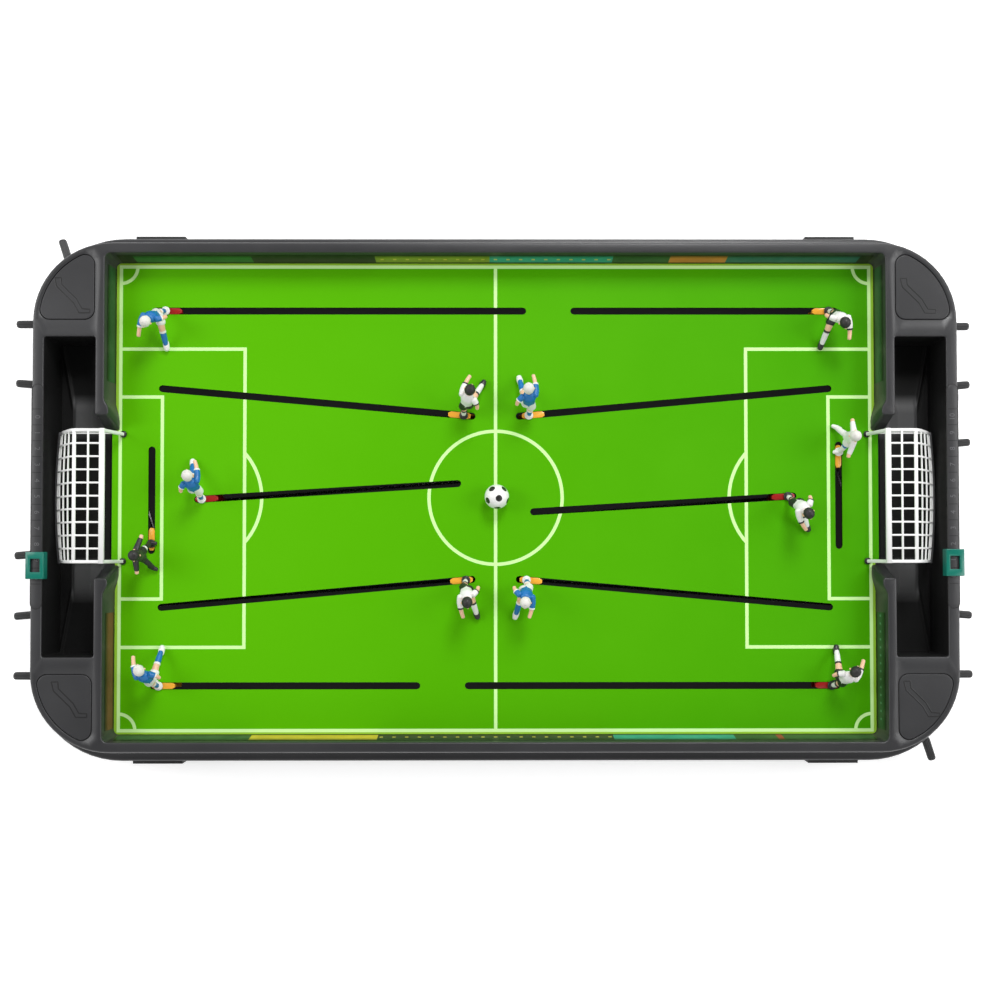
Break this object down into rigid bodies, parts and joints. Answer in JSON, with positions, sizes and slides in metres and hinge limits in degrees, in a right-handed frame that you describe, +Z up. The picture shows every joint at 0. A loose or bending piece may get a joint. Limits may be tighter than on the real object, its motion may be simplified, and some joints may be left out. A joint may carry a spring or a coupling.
{
  "type": "tabletop football game",
  "caption": "Rod-and-slot tabletop football game: walled pitch with netted goals, turning and sliding player figures, end grips, ball pockets and score markers.",
  "frame": {"origin": "centre of the footprint on the table, under the centre spot", "axes": "+X along the length towards the blue team's operator, +Y across towards the back long side, +Z up"},
  "size_m": [1.014, 0.5496, 0.109],
  "materials": {
    "casing": "satin black moulded plastic",
    "pitch": "printed satin board",
    "goal": "white moulded plastic",
    "marker": "satin green plastic",
    "foot": "matte",
    "ball": "satin",
    "blue_kit": "painted plastic",
    "white_kit": "painted plastic",
    "carriage_red": "satin",
    "carriage_orange": "satin",
    "rod_steel": "drawn steel",
    "grip": "satin black"
  },
  "bodies": {
    "table": {"casing": "casing", "pitch_board": "pitch", "goal_left": "goal", "goal_right": "goal", "foot_rail_back": "foot", "foot_rail_front": "foot"},
    "ball": {"ball": "ball"},
    "score_marker_left": {"score_marker_left": "marker"},
    "score_marker_right": {"score_marker_right": "marker"},
    "blue_left_wing_carriage": {"blue_left_wing_carriage": "carriage_red"},
    "blue_left_wing_rod": {"blue_left_wing_rod": "rod_steel", "blue_left_wing_grip": "grip"},
    "blue_left_wing_figure": {"blue_left_wing_figure": "blue_kit"},
    "blue_centre_carriage": {"blue_centre_carriage": "carriage_red"},
    "blue_centre_rod": {"blue_centre_rod": "rod_steel", "blue_centre_grip": "grip"},
    "blue_centre_figure": {"blue_centre_figure": "blue_kit"},
    "blue_right_wing_carriage": {"blue_right_wing_carriage": "carriage_orange"},
    "blue_right_wing_rod": {"blue_right_wing_rod": "rod_steel", "blue_right_wing_grip": "grip"},
    "blue_right_wing_figure": {"blue_right_wing_figure": "blue_kit"},
    "blue_left_back_carriage": {"blue_left_back_carriage": "carriage_orange"},
    "blue_left_back_rod": {"blue_left_back_rod": "rod_steel", "blue_left_back_grip": "grip"},
    "blue_left_back_figure": {"blue_left_back_figure": "blue_kit"},
    "blue_right_back_carriage": {"blue_right_back_carriage": "carriage_orange"},
    "blue_right_back_rod": {"blue_right_back_rod": "rod_steel", "blue_right_back_grip": "grip"},
    "blue_right_back_figure": {"blue_right_back_figure": "blue_kit"},
    "blue_goalie_carriage": {"blue_goalie_carriage": "carriage_orange"},
    "blue_goalie_housing": {"blue_goalie_housing": "carriage_orange"},
    "blue_goalie_rod": {"blue_goalie_rod": "rod_steel", "blue_goalie_grip": "grip"},
    "blue_goalie_figure": {"blue_goalie_figure": "blue_kit"},
    "white_left_wing_carriage": {"white_left_wing_carriage": "carriage_red"},
    "white_left_wing_rod": {"white_left_wing_rod": "rod_steel", "white_left_wing_grip": "grip"},
    "white_left_wing_figure": {"white_left_wing_figure": "white_kit"},
    "white_centre_carriage": {"white_centre_carriage": "carriage_red"},
    "white_centre_rod": {"white_centre_rod": "rod_steel", "white_centre_grip": "grip"},
    "white_centre_figure": {"white_centre_figure": "white_kit"},
    "white_right_wing_carriage": {"white_right_wing_carriage": "carriage_orange"},
    "white_right_wing_rod": {"white_right_wing_rod": "rod_steel", "white_right_wing_grip": "grip"},
    "white_right_wing_figure": {"white_right_wing_figure": "white_kit"},
    "white_left_back_carriage": {"white_left_back_carriage": "carriage_orange"},
    "white_left_back_rod": {"white_left_back_rod": "rod_steel", "white_left_back_grip": "grip"},
    "white_left_back_figure": {"white_left_back_figure": "white_kit"},
    "white_right_back_carriage": {"white_right_back_carriage": "carriage_orange"},
    "white_right_back_rod": {"white_right_back_rod": "rod_steel", "white_right_back_grip": "grip"},
    "white_right_back_figure": {"white_right_back_figure": "white_kit"},
    "white_goalie_carriage": {"white_goalie_carriage": "carriage_orange"},
    "white_goalie_housing": {"white_goalie_housing": "carriage_orange"},
    "white_goalie_rod": {"white_goalie_rod": "rod_steel", "white_goalie_grip": "grip"},
    "white_goalie_figure": {"white_goalie_figure": "white_kit"}
  },
  "joints": [
    {"name": "blue_left_wing_slide", "type": "slide", "parent": "table", "child": "blue_left_wing_carriage", "axis": [1, 0, 0], "range_m": [0, 0.3526]},
    {"name": "blue_left_wing_rod_spin", "type": "hinge", "parent": "blue_left_wing_carriage", "child": "blue_left_wing_rod", "pos_m": [-0.339, 0.1856, 0.0125], "axis": [1, 0, 0], "continuous": true},
    {"name": "blue_left_wing_figure_turn", "type": "hinge", "parent": "blue_left_wing_carriage", "child": "blue_left_wing_figure", "pos_m": [-0.339, 0.1923, 0.058], "axis": [0, 0, 1], "continuous": true},
    {"name": "blue_centre_slide", "type": "slide", "parent": "table", "child": "blue_centre_carriage", "axis": [0.9982, 0.0602, 0], "range_m": [0, 0.2482]},
    {"name": "blue_centre_rod_spin", "type": "hinge", "parent": "blue_centre_carriage", "child": "blue_centre_rod", "pos_m": [-0.301, -0.0013, 0.0125], "axis": [0.997, 0.0775, 0], "continuous": true},
    {"name": "blue_centre_figure_turn", "type": "hinge", "parent": "blue_centre_carriage", "child": "blue_centre_figure", "pos_m": [-0.301, -0.0013, 0.058], "axis": [0, 0, 1], "continuous": true},
    {"name": "blue_right_wing_slide", "type": "slide", "parent": "table", "child": "blue_right_wing_carriage", "axis": [1, 0, 0], "range_m": [0, 0.249]},
    {"name": "blue_right_wing_rod_spin", "type": "hinge", "parent": "blue_right_wing_carriage", "child": "blue_right_wing_rod", "pos_m": [-0.344, -0.1856, 0.0125], "axis": [1, 0, 0], "continuous": true},
    {"name": "blue_right_wing_figure_turn", "type": "hinge", "parent": "blue_right_wing_carriage", "child": "blue_right_wing_figure", "pos_m": [-0.344, -0.1923, 0.058], "axis": [0, 0, 1], "continuous": true},
    {"name": "blue_left_back_slide", "type": "slide", "parent": "table", "child": "blue_left_back_carriage", "axis": [0.996, 0.0888, 0], "range_m": [0, 0.262]},
    {"name": "blue_left_back_rod_spin", "type": "hinge", "parent": "blue_left_back_carriage", "child": "blue_left_back_rod", "pos_m": [0.0342, 0.0847, 0.0125], "axis": [0.9967, 0.081, 0], "continuous": true},
    {"name": "blue_left_back_figure_turn", "type": "hinge", "parent": "blue_left_back_carriage", "child": "blue_left_back_figure", "pos_m": [0.0342, 0.0847, 0.058], "axis": [0, 0, 1], "continuous": true},
    {"name": "blue_right_back_slide", "type": "slide", "parent": "table", "child": "blue_right_back_carriage", "axis": [0.996, -0.0888, 0], "range_m": [0, 0.262]},
    {"name": "blue_right_back_rod_spin", "type": "hinge", "parent": "blue_right_back_carriage", "child": "blue_right_back_rod", "pos_m": [0.0316, -0.0845, 0.0125], "axis": [0.9967, -0.081, 0], "continuous": true},
    {"name": "blue_right_back_figure_turn", "type": "hinge", "parent": "blue_right_back_carriage", "child": "blue_right_back_figure", "pos_m": [0.0316, -0.0845, 0.058], "axis": [0, 0, 1], "continuous": true},
    {"name": "blue_goalie_slide", "type": "slide", "parent": "table", "child": "blue_goalie_carriage", "axis": [0, -1, 0], "range_m": [0, 0.0818]},
    {"name": "blue_goalie_yaw", "type": "hinge", "parent": "blue_goalie_carriage", "child": "blue_goalie_housing", "pos_m": [0.3524, 0.047, 0.043], "axis": [0, 0, 1], "range_deg": [0, 6.22]},
    {"name": "blue_goalie_rod_spin", "type": "hinge", "parent": "blue_goalie_housing", "child": "blue_goalie_rod", "pos_m": [0.3524, 0.047, 0.0328], "axis": [0.3078, -0.9514, 0], "continuous": true},
    {"name": "blue_goalie_figure_turn", "type": "hinge", "parent": "blue_goalie_housing", "child": "blue_goalie_figure", "pos_m": [0.3524, 0.047, 0.058], "axis": [0, 0, 1], "continuous": true},
    {"name": "white_left_wing_slide", "type": "slide", "parent": "table", "child": "white_left_wing_carriage", "axis": [-1, 0, 0], "range_m": [0, 0.3572]},
    {"name": "white_left_wing_rod_spin", "type": "hinge", "parent": "white_left_wing_carriage", "child": "white_left_wing_rod", "pos_m": [0.3436, -0.1856, 0.0225], "axis": [-1, 0, 0], "continuous": true},
    {"name": "white_left_wing_figure_turn", "type": "hinge", "parent": "white_left_wing_carriage", "child": "white_left_wing_figure", "pos_m": [0.3436, -0.1923, 0.058], "axis": [0, 0, 1], "continuous": true},
    {"name": "white_centre_slide", "type": "slide", "parent": "table", "child": "white_centre_carriage", "axis": [-0.9982, -0.0602, 0], "range_m": [0, 0.2472]},
    {"name": "white_centre_rod_spin", "type": "hinge", "parent": "white_centre_carriage", "child": "white_centre_rod", "pos_m": [0.3, 0.0013, 0.0225], "axis": [-0.9972, -0.0751, 0], "continuous": true},
    {"name": "white_centre_figure_turn", "type": "hinge", "parent": "white_centre_carriage", "child": "white_centre_figure", "pos_m": [0.3, 0.0013, 0.058], "axis": [0, 0, 1], "continuous": true},
    {"name": "white_right_wing_slide", "type": "slide", "parent": "table", "child": "white_right_wing_carriage", "axis": [-1, 0, 0], "range_m": [0, 0.2478]},
    {"name": "white_right_wing_rod_spin", "type": "hinge", "parent": "white_right_wing_carriage", "child": "white_right_wing_rod", "pos_m": [0.3428, 0.1856, 0.0225], "axis": [-1, 0, 0], "continuous": true},
    {"name": "white_right_wing_figure_turn", "type": "hinge", "parent": "white_right_wing_carriage", "child": "white_right_wing_figure", "pos_m": [0.3428, 0.1923, 0.058], "axis": [0, 0, 1], "continuous": true},
    {"name": "white_left_back_slide", "type": "slide", "parent": "table", "child": "white_left_back_carriage", "axis": [-0.996, -0.0888, 0], "range_m": [0, 0.262]},
    {"name": "white_left_back_rod_spin", "type": "hinge", "parent": "white_left_back_carriage", "child": "white_left_back_rod", "pos_m": [-0.0305, -0.0844, 0.0225], "axis": [-0.9967, -0.081, 0], "continuous": true},
    {"name": "white_left_back_figure_turn", "type": "hinge", "parent": "white_left_back_carriage", "child": "white_left_back_figure", "pos_m": [-0.0305, -0.0844, 0.058], "axis": [0, 0, 1], "continuous": true},
    {"name": "white_right_back_slide", "type": "slide", "parent": "table", "child": "white_right_back_carriage", "axis": [-0.996, 0.0888, 0], "range_m": [0, 0.262]},
    {"name": "white_right_back_rod_spin", "type": "hinge", "parent": "white_right_back_carriage", "child": "white_right_back_rod", "pos_m": [-0.0327, 0.0846, 0.0225], "axis": [-0.9967, 0.0809, 0], "continuous": true},
    {"name": "white_right_back_figure_turn", "type": "hinge", "parent": "white_right_back_carriage", "child": "white_right_back_figure", "pos_m": [-0.0327, 0.0846, 0.058], "axis": [0, 0, 1], "continuous": true},
    {"name": "white_goalie_slide", "type": "slide", "parent": "table", "child": "white_goalie_carriage", "axis": [0, 1, 0], "range_m": [0, 0.0818]},
    {"name": "white_goalie_yaw", "type": "hinge", "parent": "white_goalie_carriage", "child": "white_goalie_housing", "pos_m": [-0.3524, -0.047, 0.043], "axis": [0, 0, 1], "range_deg": [0, 6.22]},
    {"name": "white_goalie_rod_spin", "type": "hinge", "parent": "white_goalie_housing", "child": "white_goalie_rod", "pos_m": [-0.3524, -0.047, 0.0328], "axis": [-0.3078, 0.9514, 0], "continuous": true},
    {"name": "white_goalie_figure_turn", "type": "hinge", "parent": "white_goalie_housing", "child": "white_goalie_figure", "pos_m": [-0.3524, -0.047, 0.058], "axis": [0, 0, 1], "continuous": true},
    {"name": "score_marker_left_slide", "type": "slide", "parent": "table", "child": "score_marker_left", "axis": [0, 1, 0], "range_m": [-0.026, 0.164]},
    {"name": "score_marker_right_slide", "type": "slide", "parent": "table", "child": "score_marker_right", "axis": [0, 1, 0], "range_m": [-0.0285, 0.1615]},
    {"name": "ball_lift", "type": "slide", "parent": "table", "child": "ball", "axis": [0, 0, 1], "range_m": [0, 0.08]}
  ],
  "couplings": [
    {"joint": "blue_left_wing_figure_turn", "follows": "blue_left_wing_rod_spin", "ratio": -0.7},
    {"joint": "blue_centre_figure_turn", "follows": "blue_centre_rod_spin", "ratio": -0.7},
    {"joint": "blue_right_wing_figure_turn", "follows": "blue_right_wing_rod_spin", "ratio": -0.7},
    {"joint": "blue_left_back_figure_turn", "follows": "blue_left_back_rod_spin", "ratio": -0.7},
    {"joint": "blue_right_back_figure_turn", "follows": "blue_right_back_rod_spin", "ratio": -0.7},
    {"joint": "blue_goalie_yaw", "follows": "blue_goalie_slide", "rad_per_m": 1.3174},
    {"joint": "blue_goalie_figure_turn", "follows": "blue_goalie_rod_spin", "ratio": -0.7},
    {"joint": "white_left_wing_figure_turn", "follows": "white_left_wing_rod_spin", "ratio": -0.7},
    {"joint": "white_centre_figure_turn", "follows": "white_centre_rod_spin", "ratio": -0.7},
    {"joint": "white_right_wing_figure_turn", "follows": "white_right_wing_rod_spin", "ratio": -0.7},
    {"joint": "white_left_back_figure_turn", "follows": "white_left_back_rod_spin", "ratio": -0.7},
    {"joint": "white_right_back_figure_turn", "follows": "white_right_back_rod_spin", "ratio": -0.7},
    {"joint": "white_goalie_yaw", "follows": "white_goalie_slide", "rad_per_m": 1.3174},
    {"joint": "white_goalie_figure_turn", "follows": "white_goalie_rod_spin", "ratio": -0.7}
  ]
}
